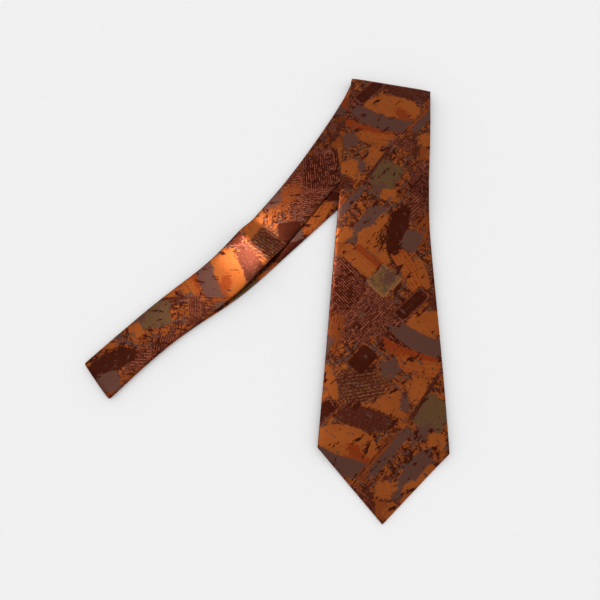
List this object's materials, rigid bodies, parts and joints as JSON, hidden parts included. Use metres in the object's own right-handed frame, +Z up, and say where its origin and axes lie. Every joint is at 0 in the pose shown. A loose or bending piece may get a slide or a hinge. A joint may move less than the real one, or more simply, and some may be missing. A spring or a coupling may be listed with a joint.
{
  "type": "necktie",
  "caption": "Printed necktie laid flat, doubled at the neck and turned over at the top, with a wide pointed front blade over a narrow tail.",
  "frame": {"origin": "middle of the bounding box, on the table that the tie lies on", "axes": "+X to the viewer's right, +Y up the front blade towards the top fold, +Z up from the table"},
  "size_m": [0.2992, 0.3932, 0.0097],
  "materials": {
    "printed_silk": "printed twill silk with a soft sheen",
    "lining_twill": "plain dark twill lining",
    "wool_interlining": "brushed undyed wool",
    "sewing_thread": "matt spun thread",
    "woven_label": "blank damask-woven label",
    "satin_tape": "blank satin tape"
  },
  "bodies": {
    "arms": {"under_arm_panel": "printed_silk", "under_arm_interlining": "wool_interlining", "under_arm_slip_stitches": "sewing_thread", "over_arm_panel": "printed_silk", "over_arm_interlining": "wool_interlining", "over_arm_slip_stitches": "sewing_thread"},
    "front_blade": {"front_blade_panel": "printed_silk", "front_blade_interlining": "wool_interlining", "front_blade_slip_stitches": "sewing_thread", "keeper_loop": "printed_silk", "keeper_tacks": "sewing_thread", "blank_label": "woven_label", "blank_label_tacks": "sewing_thread"},
    "front_tip": {"front_tip_panel": "printed_silk", "front_tip_interlining": "wool_interlining", "front_tip_slip_stitches": "sewing_thread", "front_tipping": "lining_twill", "front_bar_tack": "sewing_thread", "care_label": "satin_tape", "care_label_tacks": "sewing_thread"},
    "tail": {"tail_panel": "printed_silk", "tail_interlining": "wool_interlining", "tail_slip_stitches": "sewing_thread", "tail_tipping": "lining_twill", "tail_bar_tack": "sewing_thread"},
    "neck_end": {"neck_panel": "printed_silk", "front_end_panel": "printed_silk", "tail_end_panel": "printed_silk", "neck_interlining": "wool_interlining", "neck_slip_stitches": "sewing_thread", "tail_neck_seam_stitches": "sewing_thread", "front_neck_seam_stitches": "sewing_thread"}
  },
  "joints": [
    {"name": "unfold_front", "type": "hinge", "parent": "arms", "child": "front_blade", "pos_m": [0.11198, 0.1836, 0.00485], "axis": [-0.9751, 0.2215, 0], "range_deg": [0, 175]},
    {"name": "unfold_tail", "type": "hinge", "parent": "arms", "child": "tail", "pos_m": [0.11198, 0.1836, 0.00485], "axis": [-0.9751, 0.2215, 0], "range_deg": [0, 175]},
    {"name": "front_tip_lift", "type": "hinge", "parent": "front_blade", "child": "front_tip", "pos_m": [0.09549, -0.0614, 0.0049], "axis": [-1, 0, 0], "range_deg": [0, 110]},
    {"name": "neck_end_lift", "type": "hinge", "parent": "arms", "child": "neck_end", "pos_m": [-0.02606, 0.00713, 0.00235], "axis": [-0.7071, 0.7071, 0], "range_deg": [0, 90]}
  ],
  "couplings": [
    {"joint": "unfold_tail", "follows": "unfold_front", "ratio": 1}
  ]
}
